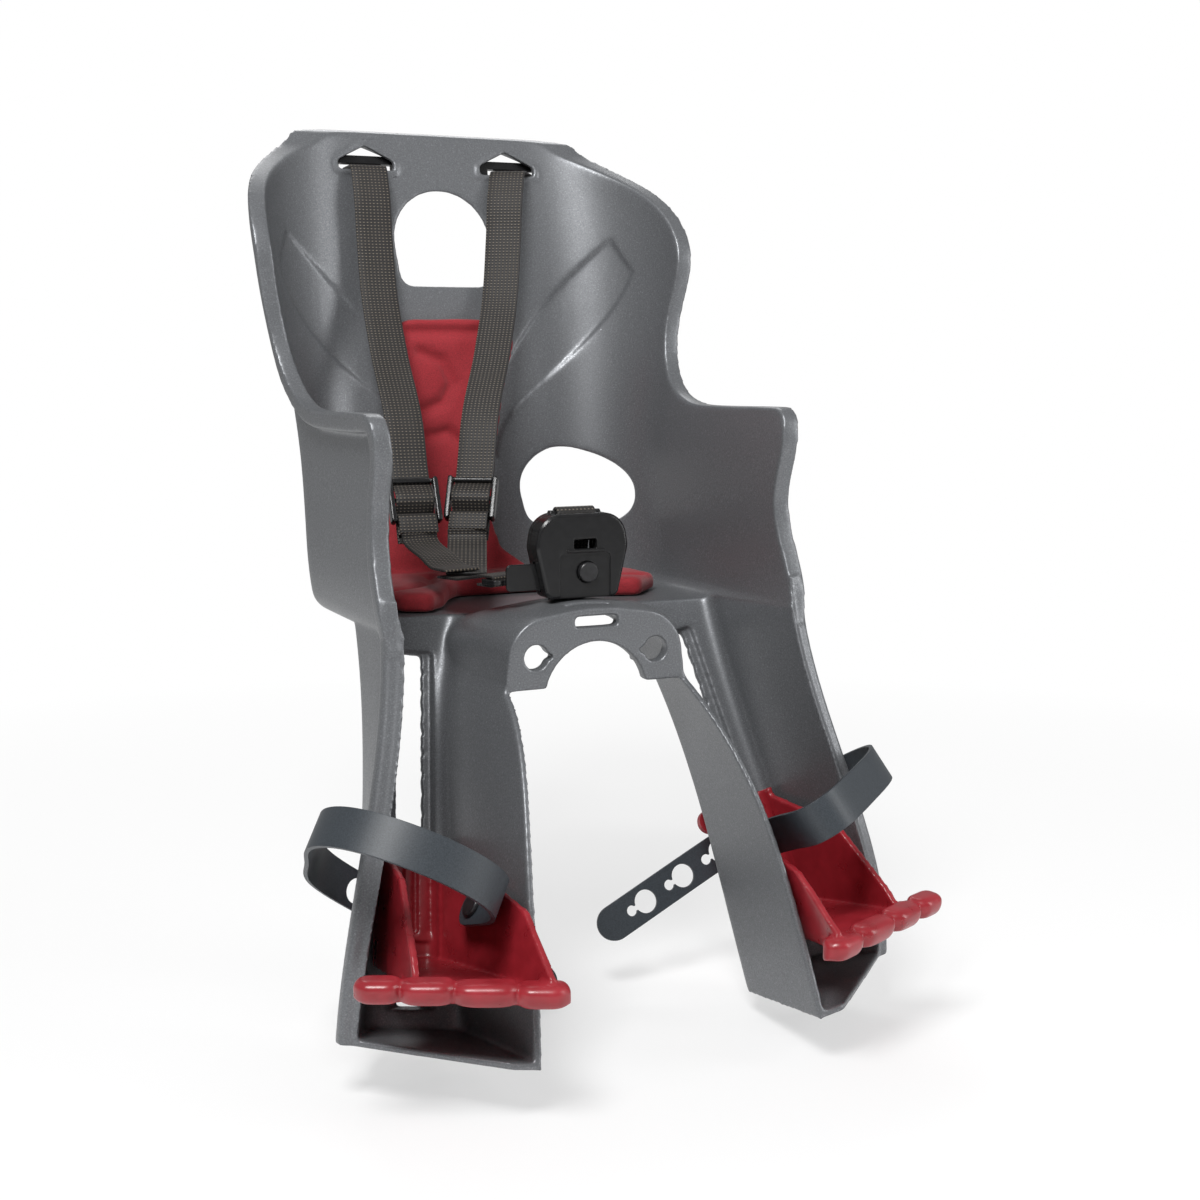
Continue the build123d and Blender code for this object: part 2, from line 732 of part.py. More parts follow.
export_step(buckle_tongue.part, "parts/buckle_tongue.step")


def buckle_outline(y, inset):
    """Shield outline of the buckle at depth y."""
    with BuildSketch(Plane.XZ.offset(-y)) as outline:
        with BuildLine():
            Polyline(
                (-23 + inset, buckle_bottom + inset), (23 - inset, buckle_bottom + inset), (30 - inset, 61),
                (27 - inset, buckle_top - inset), (-27 + inset, buckle_top - inset), (-30 + inset, 61), close=True,
            )
        make_face()
        fillet(outline.vertices().sort_by(Axis.Y)[-2:], 15 - inset)
        fillet(outline.vertices().filter_by(lambda v: abs(v.Y - 61) < 0.1), 12)
        fillet(outline.vertices().sort_by(Axis.Y)[:2], 5 - inset)
    return outline.sketch


buckle_rear = buckle_y + buckle_depth
with BuildPart() as buckle_body:
    add(buckle_outline(buckle_y, 0))
    extrude(amount=buckle_depth, dir=(0, 1, 0))
    chamfer(buckle_body.faces().sort_by(Axis.Y)[0].edges(), 1.5)
    with BuildSketch(Plane.XZ.offset(-buckle_y)):
        with Locations((1.5, buckle_bottom - 4)):
            RectangleRounded(33, 31, 3, align=(Align.CENTER, Align.MIN))
    extrude(amount=1.2, dir=(0, 1, 0), mode=Mode.SUBTRACT)
    add(buckle_outline(buckle_y + 4, buckle_wall))
    extrude(amount=buckle_depth, dir=(0, 1, 0), mode=Mode.SUBTRACT)
    with BuildSketch(Plane.XZ.offset(-blade_y + 0.8)):
        with Locations((0, buckle_top - 8)):
            Rectangle(webbing_width + 3, 20, align=(Align.CENTER, Align.MIN))
        with Locations((-15, blade_z)):
            Rectangle(40, 18, align=(Align.MAX, Align.CENTER))
    extrude(amount=6, dir=(0, 1, 0), mode=Mode.SUBTRACT)
    with BuildSketch(Plane.XZ.offset(-buckle_y + 2)):
        with Locations((1.5, 63)):
            RectangleRounded(*buckle_window, 1)
        with Locations((button_x, button_z)):
            Circle(button_radius + button_gap)
    extrude(amount=8, dir=(0, 1, 0), mode=Mode.SUBTRACT)
    with BuildSketch(Plane.XZ.offset(-buckle_y + 0.8)):
        with Locations((1.5, buckle_bottom + 28.5)):
            Rectangle(24, 1.4)
    extrude(amount=2, dir=(0, 1, 0))
buckle_body.part.label = "buckle_body"
export_step(buckle_body.part, "parts/buckle_body.step")

with BuildPart() as buckle_back:
    add(buckle_outline(buckle_rear, 0))
    extrude(amount=buckle_back_depth, dir=(0, 1, 0))
    with BuildSketch(Plane.XZ.offset(-buckle_rear + 1)):
        with Locations((0, 66)):
            RectangleRounded(webbing_width + 3.4, 40, 2, align=(Align.CENTER, Align.MIN))
        with Locations((1.5, 60)):
            RectangleRounded(buckle_window[0] + 4, 8, 1)
    extrude(amount=buckle_back_depth + 2, dir=(0, 1, 0), mode=Mode.SUBTRACT)
    with BuildSketch(Plane.YZ.offset(-webbing_width / 2 - 4)):
        with Locations((buckle_rear + buckle_back_depth / 2, bar_z)):
            Circle(bar_radius)
    extrude(amount=webbing_width + 8)
buckle_back.part.label = "buckle_back"
export_step(buckle_back.part, "parts/buckle_back.step")

flange_y = buckle_y + 4 + button_gap
with BuildPart() as buckle_button:
    with BuildSketch(Plane.XZ.offset(-buckle_y + button_travel + 0.4)):
        with Locations((button_x, button_z)):
            Circle(button_radius)
    extrude(amount=flange_y - buckle_y + button_travel + 0.6, dir=(0, 1, 0))
    chamfer(buckle_button.faces().sort_by(Axis.Y)[0].edges(), 0.6)
    with BuildSketch(Plane.XZ.offset(-flange_y)):
        with Locations((button_x, button_z)):
            Circle(button_radius + 1.5)
    extrude(amount=1.4, dir=(0, 1, 0))
buckle_button.part.label = "buckle_button"
export_step(buckle_button.part, "parts/buckle_button.step")

spring_start = flange_y + 1.4 + spring_wire / 2 + 0.05
spring_length = buckle_rear - spring_start - spring_wire / 2 - 0.05
with BuildPart() as buckle_spring:
    with BuildLine():
        coil = Helix(
            pitch=spring_length / spring_turns, height=spring_length, radius=spring_radius,
            center=(button_x, spring_start, button_z), direction=(0, 1, 0),
        )
    with BuildSketch(Plane(coil @ 0, z_dir=coil % 0)):
        Circle(spring_wire / 2)
    sweep()
buckle_spring.part.label = "buckle_spring"
export_step(buckle_spring.part, "parts/buckle_spring.step")

bar_y = buckle_rear + buckle_back_depth / 2
wrap = bar_radius + slack + webbing / 2
crotch_y = crotch_slot_y[1]
with BuildPart() as crotch_strap:
    with BuildSketch(Plane.YZ.offset(-webbing_width / 2)):
        with BuildLine():
            FilletPolyline(
                (crotch_y + 9, crotch_bottom), (crotch_y, crotch_bottom), (crotch_y, 34), radius=1.4,
            )
            Spline((crotch_y, 34), (crotch_y - 3, 58), (bar_y + wrap, bar_z), tangents=((0, 1), (0, 1)))
            ThreePointArc((bar_y + wrap, bar_z), (bar_y, bar_z + wrap), (bar_y - wrap, bar_z))
            Line((bar_y - wrap, bar_z), (bar_y - wrap, bar_z - 13))
        trace(line_width=webbing)
    extrude(amount=webbing_width)
crotch_strap.part.label = "crotch_strap"
export_step(crotch_strap.part, "parts/crotch_strap.step")

with BuildPart() as crotch_retainer:
    with BuildSketch(Plane.XY.offset(crotch_bottom + webbing / 2 + slack)):
        with Locations((0, crotch_y)):
            RectangleRounded(38, 14, 4)
            RectangleRounded(webbing_width + 2.5, 4.4, 1, mode=Mode.SUBTRACT)
    extrude(amount=3)
crotch_retainer.part.label = "crotch_retainer"
export_step(crotch_retainer.part, "parts/crotch_retainer.step")

# Right footrest, then its mirror image
slot = slot_plane(1)
plate_low = rest_along - plate_height / 2
sole_plane = Plane((0, 0, sole_z), x_dir=(1, 0, sole_slope_x), z_dir=(-sole_slope_x, -sole_slope_y, 1))


def on_slope(points, plane, height, slope_x, slope_y):
    """Plan points laid on a sloping plane and given in that plane's own coordinates."""
    laid = [plane.to_local_coords(Vector(x, y, height + slope_x * x + slope_y * y)) for x, y in points]
    return [(point.X, point.Y) for point in laid]


def gusset_plane(across, target):
    """Plane of a footrest side wall, with x towards the toes from the foot of the plate."""
    foot = slot.from_local_coords(Vector(across, plate_low, 3))
    ahead = (Vector(*target) - foot).normalized()
    return Plane(foot, x_dir=ahead, z_dir=slot.y_dir.cross(ahead))


def side_wall(plane, outline):
    """Outline of a side wall given as distance ahead and height up the slot."""
    points = []
    for ahead, rise in outline:
        local = plane.to_local_coords(plane.origin + plane.x_dir * ahead + slot.y_dir * rise)
        points.append((local.X, local.Y))
    with BuildSketch(plane.offset(-gusset / 2)) as wall_outline:
        with BuildLine():
            Polyline(*points, close=True)
        make_face()
    return wall_outline.sketch


inner_wall = gusset_plane(-plate_inner + gusset / 2, inner_target)
outer_wall = gusset_plane(plate_outer - gusset / 2, outer_target)

toe_lobes = []
front_run = Vector(toe_inner[0] - toe_outer[0], toe_inner[1] - toe_outer[1], 0).normalized()
start = 0.0
for width in toe_widths:
    middle = Vector(*toe_outer, 0) + front_run * (start + width / 2)
    base = sole_z + sole_slope_x * middle.X + sole_slope_y * middle.Y - toe_height + toe_crown
    with BuildPart() as lobe:
        with BuildSketch(Plane((middle.X, middle.Y, base), x_dir=front_run)):
            RectangleRounded(width + toe_overlap, toe_depth, toe_depth / 2 - 0.1)
        extrude(amount=toe_height)
        fillet(lobe.faces().sort_by(Axis.Z)[-1].edges(), toe_crown)
    toe_lobes.append(lobe.part)
    start += width

with BuildPart() as footrest:
    profile = Plane(slot.from_local_coords(Vector(0, plate_low, 0)), x_dir=slot.x_dir, z_dir=slot.y_dir)
    with BuildSketch(profile) as cradle:
        with Locations(((plate_outer - plate_inner) / 2, -slack)):
            Rectangle(plate_outer + plate_inner, plate_depth - slack, align=(Align.CENTER, Align.MAX))
        fillet(cradle.vertices().sort_by(Axis.Y)[-2:], plate_corner)
    with BuildSketch(profile, mode=Mode.PRIVATE) as cradle_void:
        with Locations(((plate_outer - plate_inner) / 2, -slack - plate_wall)):
            Rectangle(plate_outer + plate_inner - 2 * plate_wall, plate_depth, align=(Align.CENTER, Align.MAX))
        fillet(cradle_void.vertices().sort_by(Axis.Y)[-2:], plate_corner - plate_wall)
    extrude(amount=plate_height)
    add(cradle_void.sketch)
    extrude(amount=plate_height, dir=slot.y_dir, mode=Mode.SUBTRACT)
    with BuildSketch(slot.offset(slack + plate_wall - 0.5)):
        with Locations((panel_x, rest_along + 1)):
            RectangleRounded(panel_width, panel_height, 2)
            with GridLocations(2 * rib_offset, 0, 2, 1):
                RectangleRounded(rib_groove, panel_height - 8, 1.6, mode=Mode.SUBTRACT)
    extrude(amount=2.5)
    with BuildSketch(slot.offset(1)):
        with Locations((0, rest_along)):
            RectangleRounded(neck_width, neck_height, 2)
    extrude(amount=-wall - slot_backing - slack - 1)
    with BuildSketch(sole_plane):
        with BuildLine():
            Polyline(*on_slope(sole_outline, sole_plane, sole_z, sole_slope_x, sole_slope_y), close=True)
        make_face()
    extrude(amount=-sole_thickness)
    add(side_wall(inner_wall, inner_outline))
    extrude(amount=gusset, dir=inner_wall.z_dir)
    add(side_wall(outer_wall, outer_outline))
    extrude(amount=gusset, dir=outer_wall.z_dir)
    for lobe in toe_lobes:
        add(lobe)
    with BuildSketch(slot.offset(-wall - slot_backing - slack)):
        with Locations((0, rest_along)):
            Circle(screw_radius + 0.3)
    extrude(amount=wall + slot_backing + slack + 2, mode=Mode.SUBTRACT)

lock_face = slot.offset(-wall - slot_backing - slack)
with BuildPart() as footrest_lock:
    with BuildSketch(lock_face):
        with Locations((0, rest_along)):
            RectangleRounded(lock_width, lock_height, 5)
    extrude(amount=-lock_thickness)
    with BuildSketch(lock_face.offset(-1)):
        with Locations((-lock_width / 2 + 2, rest_along + lock_height / 2 - 4)):
            Circle(tab_radius)
    extrude(amount=-lock_thickness + 1)
    with BuildSketch(lock_face.offset(-lock_thickness)):
        with Locations((0, rest_along)):
            Circle(screw_head + 0.5)
    extrude(amount=screw_head_height + 0.2, mode=Mode.SUBTRACT)
    with BuildSketch(lock_face.offset(1)):
        with Locations((0, rest_along)):
            Circle(screw_radius + 0.3)
    extrude(amount=-lock_thickness - 2, mode=Mode.SUBTRACT)

head_seat = lock_face.offset(-lock_thickness + screw_head_height + 0.2)
with BuildPart() as footrest_screw:
    with BuildSketch(head_seat):
        with Locations((0, rest_along)):
            Circle(screw_head)
    extrude(amount=-screw_head_height)
    fillet(footrest_screw.faces().sort_by(Axis(head_seat.origin, -head_seat.z_dir))[-1].edges(), 1)
    with BuildSketch(head_seat.offset(-screw_head_height)):
        with Locations((0, rest_along)):
            RegularPolygon(1.8, 6)
    extrude(amount=1.6, mode=Mode.SUBTRACT)
    with BuildSketch(head_seat):
        with Locations((0, rest_along)):
            Circle(screw_radius)
    extrude(amount=lock_thickness - screw_head_height + wall + slot_backing + slack)


def band_frame(line, distance, normal):
    """Plane on a foot strap's outer face at a distance along it, with x along the strap."""
    share = distance / line.length
    return Plane(line @ share, x_dir=line % share, z_dir=normal.cross(line % share))


for name, band, route in (("left", left_band, left_route), ("right", right_band, right_route)):
    band_plane = Plane((0, 0, band[0]), x_dir=(1, 0, band[1]), z_dir=(-band[1], -band[2], 1))
    points = on_slope(route, band_plane, *band)
    with BuildLine(band_plane) as band_line:
        Spline(*points)
    run = band_line.edges()[0]
    stud_frame = band_frame(run, stud_along, band_plane.z_dir)

    with BuildPart() as foot_strap:
        with BuildSketch(band_plane.offset(-band_width / 2)):
            with BuildLine():
                Spline(*points)
            trace(line_width=band_thickness)
        extrude(amount=band_width)
        for place in range(keyhole_count):
            distance = run.length - keyhole_first - place * keyhole_pitch
            for shift, radius in ((0, keyhole_big), (keyhole_step, keyhole_small)):
                with BuildSketch(band_frame(run, distance + shift, band_plane.z_dir).offset(-8)):
                    Circle(radius)
                extrude(amount=16, mode=Mode.SUBTRACT)
            with BuildSketch(band_frame(run, distance + keyhole_step / 2, band_plane.z_dir).offset(-8)):
                Rectangle(keyhole_step, keyhole_small)
            extrude(amount=16, mode=Mode.SUBTRACT)
        with BuildSketch(stud_frame.offset(-4)):
            Circle(screw_radius + 0.4)
        extrude(amount=8, mode=Mode.SUBTRACT)
        for distance, turn in ((band_width / 2, 1), (run.length - band_width / 2, -1)):
            with BuildSketch(band_frame(run, distance, band_plane.z_dir).offset(-6)):
                with Locations((-turn * band_width / 2, 0)):
                    Rectangle(band_width, band_width + 4)
                Circle(band_width / 2, mode=Mode.SUBTRACT)
            extrude(amount=12, mode=Mode.SUBTRACT)

    with BuildPart() as bossed_footrest:
        add(footrest.part)
        with BuildSketch(stud_frame.offset(-band_thickness / 2 - slack)):
            Circle(stud_boss)
        extrude(amount=-stud_reach)
        with BuildSketch(stud_frame.offset(-band_thickness / 2 - slack)):
            Circle(screw_radius + 0.3)
        extrude(amount=-stud_hole, mode=Mode.SUBTRACT)

    with BuildPart() as foot_strap_stud:
        with BuildSketch(stud_frame.offset(band_thickness / 2 + slack)):
            Circle(stud_radius)
        extrude(amount=2.4)
        fillet(foot_strap_stud.faces().sort_by(Axis(stud_frame.origin, stud_frame.z_dir))[-1].edges(), 1.2)
        with BuildSketch(stud_frame.offset(band_thickness / 2 + slack)):
            Circle(screw_radius)
        extrude(amount=-band_thickness - 2 * slack - stud_hole + 1)

    pieces = (
        (bossed_footrest, "footrest"), (footrest_lock, "footrest_lock"), (footrest_screw, "footrest_screw"),
        (foot_strap_stud, "foot_strap_stud"), (foot_strap, "foot_strap"),
    )
    for piece, kind in pieces:
        body = piece.part if name == "right" else mirror(piece.part, about=Plane.YZ)
        body.label = f"{kind}_{name}"
        export_step(body, f"parts/{kind}_{name}.step")
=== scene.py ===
# %% [markdown]
# # A child bike seat for the front of a bicycle
# The seat hangs ahead of the rider on a bracket at the stem. It is one moulded plastic shell with a foam pad, a
# webbing harness with a buckle, and two footrests that slide in slots in the legs. The CAD model already holds the
# solid shapes at their real size. This script loads them, softens and dresses them, and lights them as in a shop
# photograph. Lengths are metres, X runs across, +Y towards the backrest and +Z up.

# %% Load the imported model
import json

import bmesh
import bpy
from math import cos, exp, pi, radians, sin
from mathutils import Matrix, Vector, noise


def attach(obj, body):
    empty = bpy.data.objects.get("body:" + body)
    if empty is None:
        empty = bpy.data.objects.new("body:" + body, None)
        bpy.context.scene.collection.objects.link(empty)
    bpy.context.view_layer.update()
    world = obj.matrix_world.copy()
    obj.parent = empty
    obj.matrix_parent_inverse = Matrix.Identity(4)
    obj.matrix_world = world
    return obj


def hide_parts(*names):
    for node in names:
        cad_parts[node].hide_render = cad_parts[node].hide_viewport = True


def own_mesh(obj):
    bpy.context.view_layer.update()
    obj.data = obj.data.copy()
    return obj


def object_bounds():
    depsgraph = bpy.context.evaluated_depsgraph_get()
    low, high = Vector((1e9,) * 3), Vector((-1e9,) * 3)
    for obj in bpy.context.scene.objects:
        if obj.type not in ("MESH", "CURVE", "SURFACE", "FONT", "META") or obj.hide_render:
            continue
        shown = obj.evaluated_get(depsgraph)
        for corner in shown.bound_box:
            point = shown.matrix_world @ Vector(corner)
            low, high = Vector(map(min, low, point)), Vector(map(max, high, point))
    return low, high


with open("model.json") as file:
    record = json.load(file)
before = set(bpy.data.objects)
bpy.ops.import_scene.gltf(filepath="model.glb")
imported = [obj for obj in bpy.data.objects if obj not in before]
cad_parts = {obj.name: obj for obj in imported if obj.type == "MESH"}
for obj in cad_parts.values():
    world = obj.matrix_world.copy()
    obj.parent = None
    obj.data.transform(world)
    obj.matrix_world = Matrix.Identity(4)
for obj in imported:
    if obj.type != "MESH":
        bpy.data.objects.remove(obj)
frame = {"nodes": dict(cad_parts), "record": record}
cad_low, cad_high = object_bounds()
nodes = frame["nodes"]
slots = {part["node"]: part["material_slot"] for part in frame["record"]["subparts"]}
scene = bpy.context.scene
print("CAD nodes:", len(nodes), "from", cad_low, "to", cad_high)

# %% [markdown]
# A product photograph is taken from some way off, so that near and far parts keep their proportions. A camera can be
# pointed with a constraint or by hand. Here its three axes are written down as they were solved from the picture,
# and put together as the columns of a matrix, so nothing moves it later.

# %% Camera
camera = bpy.data.objects.new("camera", bpy.data.cameras.new("camera"))
camera.data.sensor_width = 36.0
camera.data.lens = 53.7
camera.data.clip_start = 0.05
camera_place = Vector((-0.4387, -0.9444, 0.1782))
right, look = Vector((0.9063, -0.4226, 0.0)), Vector((0.4185, 0.8975, -0.1392))
turn = Matrix((right, right.cross(look), -look)).transposed().to_4x4()
camera.matrix_world = Matrix.Translation(camera_place) @ turn
scene.collection.objects.link(camera)
scene.camera = camera
print("camera", round(camera_place.length, 3), "m from the origin, lens", camera.data.lens, "mm")

# %% [markdown]
# Colours are picked as sRGB hex codes, as a paint program shows them, but a shader works in linear light. One
# function turns the codes to linear. Every material is built from the same few steps, so one function starts a
# material and one adds a node: its properties by name, and its inputs as numbers or as other nodes' outputs.


# %% Colour and node helpers
def srgb(code):
    """Linear RGBA of an sRGB hex code."""
    channels = [int(code[i:i + 2], 16) / 255 for i in (0, 2, 4)]
    return (*[c / 12.92 if c <= 0.04045 else ((c + 0.055) / 1.055) ** 2.4 for c in channels], 1.0)


def start_material(name, **inputs):
    """A material, its node tree and its shader, with values set on the shader's own sockets."""
    material = bpy.data.materials.new(name)
    material.use_nodes = True
    shader = material.node_tree.nodes["Principled BSDF"]
    for socket, value in inputs.items():
        shader.inputs[socket.replace("_", " ")].default_value = value
    print("material", name)
    return material, material.node_tree, shader


def add_node(tree, kind, inputs=None, **settings):
    """Adds a node with its properties, its inputs (a number, a colour or another node's output) and ramp stops."""
    node = tree.nodes.new(f"ShaderNode{kind}")
    for key, value in settings.items():
        if key != "stops":
            setattr(node, key, value)
            continue
        elements = node.color_ramp.elements
        while len(elements) < len(value):
            elements.new(0.5)
        for element, (position, code) in zip(elements, value):
            element.position = position
            element.color = srgb(code)
    for socket, value in (inputs or {}).items():
        if isinstance(value, bpy.types.NodeSocket):
            tree.links.new(value, node.inputs[socket])
        else:
            node.inputs[socket].default_value = value
    return node


# %% [markdown]
# The shell is polypropylene, injection moulded, with a little metallic fleck mixed in. The eye sees a silver grey
# that is neither paint nor metal: broad soft highlights with a fine sparkle. Such fleck is typically 0.1 mm, too
# fine to show from here, so it is drawn at 0.9 mm. One noise drives colour, roughness and a very low bump, so that a
# pale spot is also a shiny one, as a real flake is.

# %% Moulded polypropylene, silver grey
fleck_size, fleck_relief = 0.0009, 0.00005
shell_material, tree, shader = start_material("moulded_polypropylene_silver_grey", Metallic=0.4)
place = add_node(tree, "TexCoord").outputs["Object"]
fleck = add_node(tree, "TexNoise", {"Vector": place, "Scale": 1 / fleck_size, "Detail": 3.0}).outputs["Fac"]
grey = add_node(tree, "ValToRGB", {"Fac": fleck}, stops=((0.3, "636568"), (0.6, "737578"), (0.75, "8a8c8f")))
gloss = add_node(tree, "MapRange", {"Value": fleck, "From Min": 0.3, "From Max": 0.7, "To Min": 0.44, "To Max": 0.32})
grain = add_node(tree, "Bump", {"Height": fleck, "Strength": 0.35, "Distance": fleck_relief})
tree.links.new(grey.outputs["Color"], shader.inputs["Base Color"])
tree.links.new(gloss.outputs["Result"], shader.inputs["Roughness"])
tree.links.new(grain.outputs["Normal"], shader.inputs["Normal"])

# %% [markdown]
# The pad is foam with a close knitted face. The knit hides all gloss and catches a soft pale edge where it turns
# away, which is what Sheen is for. The loops of a close knit are typically about 0.7 mm, and noise of that size is
# enough, because single loops can't be told apart from here.

# %% Foam pad with a red fabric face
loop_size, loop_relief = 0.0007, 0.0002
pad_material, tree, shader = start_material("foam_pad_red_fabric", Roughness=0.85, Sheen_Weight=0.25,
                                            Sheen_Roughness=0.4)
place = add_node(tree, "TexCoord").outputs["Object"]
knit = add_node(tree, "TexNoise", {"Vector": place, "Scale": 1 / loop_size, "Detail": 2.0}).outputs["Fac"]
red = add_node(tree, "ValToRGB", {"Fac": knit}, stops=((0.3, "7e1a22"), (0.7, "a3242e")))
loops = add_node(tree, "Bump", {"Height": knit, "Strength": 0.6, "Distance": loop_relief})
tree.links.new(red.outputs["Color"], shader.inputs["Base Color"])
tree.links.new(loops.outputs["Normal"], shader.inputs["Normal"])

# %% [markdown]
# Harness webbing is polyester, woven with ribs across the strap and columns of thread along it. A picture of a
# weave could be wrapped on, but two sine waves in the strap's own UV map, which is in metres, give the same checks
# and follow every bend. The ribs come to 2 to 2.5 mm apart when they are set against the strap's 25 mm, and are
# drawn at 2.17 mm. The columns look finer than that, and are drawn as coarse as 2.5 mm so that they show. The
# crowns of the threads are painted paler, as a painted highlight where they would catch the light.

# %% Polyester webbing, dark
rib_pitch, column_pitch, rib_relief = 0.0021666, 0.0025133, 0.0004
webbing_material, tree, shader = start_material("polyester_webbing_dark", Roughness=0.6, Sheen_Weight=0.1)
strap_uv = add_node(tree, "UVMap").outputs["UV"]
split = add_node(tree, "SeparateXYZ", {"Vector": strap_uv})
waves = {}
for axis, pitch in (("Y", rib_pitch), ("X", column_pitch)):
    angle = add_node(tree, "Math", {0: split.outputs[axis], 1: 2 * pi / pitch}, operation="MULTIPLY")
    waves[axis] = add_node(tree, "Math", {0: angle.outputs[0]}, operation="SINE").outputs[0]
checks = add_node(tree, "Math", {0: waves["Y"], 1: waves["X"]}, operation="MULTIPLY")
weave = add_node(tree, "Math", {0: checks.outputs[0], 1: waves["Y"]}, operation="ADD")
crown = add_node(tree, "MapRange", {"Value": weave.outputs[0], "From Min": -2.0, "From Max": 2.0}).outputs["Result"]
# Weave colour: near-black webbing, with a painted highlight on the crowns of the threads.
weave_with_painted_highlight = add_node(tree, "ValToRGB", {"Fac": crown}, stops=((0.3, "0c0a09"), (0.72, "1f1a18"), (0.98, "7c7264")))
ribs = add_node(tree, "Bump", {"Height": crown, "Strength": 0.8, "Distance": rib_relief})
tree.links.new(weave_with_painted_highlight.outputs["Color"], shader.inputs["Base Color"])
tree.links.new(ribs.outputs["Normal"], shader.inputs["Normal"])

# %% [markdown]
# The buckle and the adjusters are black acetal from a polished mould, so they show sharp, narrow highlights. The
# CAD solids have crisp edges, and a moulded edge is rounded by about a millimetre. A Bevel modifier could cut the
# mesh, but a Bevel node bends only the shading at an edge, which is enough on pieces this small. A patchy noise of
# 4 mm stands for the flow of the plastic, and a fine one for its skin.

# %% Black acetal of the buckle
flow_size, skin_size, buckle_edge = 0.004, 0.0012, 0.0012
buckle_material, tree, shader = start_material("acetal_black")
place = add_node(tree, "TexCoord").outputs["Object"]
flow = add_node(tree, "TexNoise", {"Vector": place, "Scale": 1 / flow_size, "Detail": 3.0}).outputs["Fac"]
skin = add_node(tree, "TexNoise", {"Vector": place, "Scale": 1 / skin_size, "Detail": 2.0}).outputs["Fac"]
black = add_node(tree, "ValToRGB", {"Fac": flow}, stops=((0.3, "151516"), (0.7, "1a1a1b")))
gloss = add_node(tree, "MapRange", {"Value": flow, "From Min": 0.3, "From Max": 0.7, "To Min": 0.19, "To Max": 0.24})
edge = add_node(tree, "Bevel", {"Radius": buckle_edge}, samples=6)
bump = add_node(tree, "Bump", {"Height": skin, "Strength": 0.3, "Distance": 0.00002, "Normal": edge.outputs[0]})
tree.links.new(black.outputs["Color"], shader.inputs["Base Color"])
tree.links.new(gloss.outputs["Result"], shader.inputs["Roughness"])
tree.links.new(bump.outputs["Normal"], shader.inputs["Normal"])

# %% [markdown]
# The button and the studs of the foot straps are handled all the time, so the mould gives them a duller face. It is
# the same plastic a shade lighter, and that is all that sets the button apart from the buckle.

# %% Black acetal of the button and the studs
flow_size, button_edge = 0.003, 0.0006
button_material, tree, shader = start_material("acetal_black_button", Roughness=0.34)
place = add_node(tree, "TexCoord").outputs["Object"]
flow = add_node(tree, "TexNoise", {"Vector": place, "Scale": 1 / flow_size, "Detail": 3.0}).outputs["Fac"]
black = add_node(tree, "ValToRGB", {"Fac": flow}, stops=((0.3, "1b1b1c"), (0.7, "29292b")))
edge = add_node(tree, "Bevel", {"Radius": button_edge}, samples=6)
bump = add_node(tree, "Bump", {"Height": flow, "Strength": 0.4, "Distance": 0.00004, "Normal": edge.outputs[0]})
tree.links.new(black.outputs["Color"], shader.inputs["Base Color"])
tree.links.new(bump.outputs["Normal"], shader.inputs["Normal"])

# %% [markdown]
# Two small metals: the coil is spring wire, drawn bright through a die, and the screws are steel with a dull zinc
# plating that clouds in patches of about 1.5 mm. A metal is told by Metallic at 1 and its colour, not by its IOR.

# %% Drawn spring wire
wire_grain = 0.0004
spring_material, tree, shader = start_material("drawn_spring_wire", Metallic=1.0, Roughness=0.28)
place = add_node(tree, "TexCoord").outputs["Object"]
drawn = add_node(tree, "TexNoise", {"Vector": place, "Scale": 1 / wire_grain, "Detail": 2.0}).outputs["Fac"]
wire = add_node(tree, "ValToRGB", {"Fac": drawn}, stops=((0.3, "a9a9ab"), (0.7, "c6c6c8")))
tree.links.new(wire.outputs["Color"], shader.inputs["Base Color"])

# %% Zinc-plated screws
cloud_size, screw_edge = 0.0015, 0.0003
screw_material, tree, shader = start_material("zinc_plated_steel", Metallic=1.0, Roughness=0.32)
place = add_node(tree, "TexCoord").outputs["Object"]
plating = add_node(tree, "TexNoise", {"Vector": place, "Scale": 1 / cloud_size, "Detail": 3.0}).outputs["Fac"]
zinc = add_node(tree, "ValToRGB", {"Fac": plating}, stops=((0.3, "a7a8a6"), (0.7, "c4c6c8")))
edge = add_node(tree, "Bevel", {"Radius": screw_edge}, samples=6)
bump = add_node(tree, "Bump", {"Height": plating, "Strength": 0.4, "Distance": 0.00003, "Normal": edge.outputs[0]})
tree.links.new(zinc.outputs["Color"], shader.inputs["Base Color"])
tree.links.new(bump.outputs["Normal"], shader.inputs["Normal"])

# %% [markdown]
# The footrests are the same sort of plastic as the shell, dyed red with no fleck. The mould left them glossy, with a
# faint haze where the plastic flowed, in patches of 12 mm. A thin Coat gives the sharp highlight over the broad one.

# %% Moulded red plastic of the footrests
haze_size, skin_size = 0.012, 0.0008
footrest_material, tree, shader = start_material("moulded_plastic_red", Coat_Weight=0.1, Coat_Roughness=0.2)
place = add_node(tree, "TexCoord").outputs["Object"]
haze = add_node(tree, "TexNoise", {"Vector": place, "Scale": 1 / haze_size, "Detail": 3.0}).outputs["Fac"]
skin = add_node(tree, "TexNoise", {"Vector": place, "Scale": 1 / skin_size, "Detail": 2.0}).outputs["Fac"]
red = add_node(tree, "ValToRGB", {"Fac": haze}, stops=((0.3, "8a1f27"), (0.7, "9e2630")))
gloss = add_node(tree, "MapRange", {"Value": haze, "From Min": 0.3, "From Max": 0.7, "To Min": 0.26, "To Max": 0.38})
bump = add_node(tree, "Bump", {"Height": skin, "Strength": 0.3, "Distance": 0.00003})
tree.links.new(red.outputs["Color"], shader.inputs["Base Color"])
tree.links.new(gloss.outputs["Result"], shader.inputs["Roughness"])
tree.links.new(bump.outputs["Normal"], shader.inputs["Normal"])

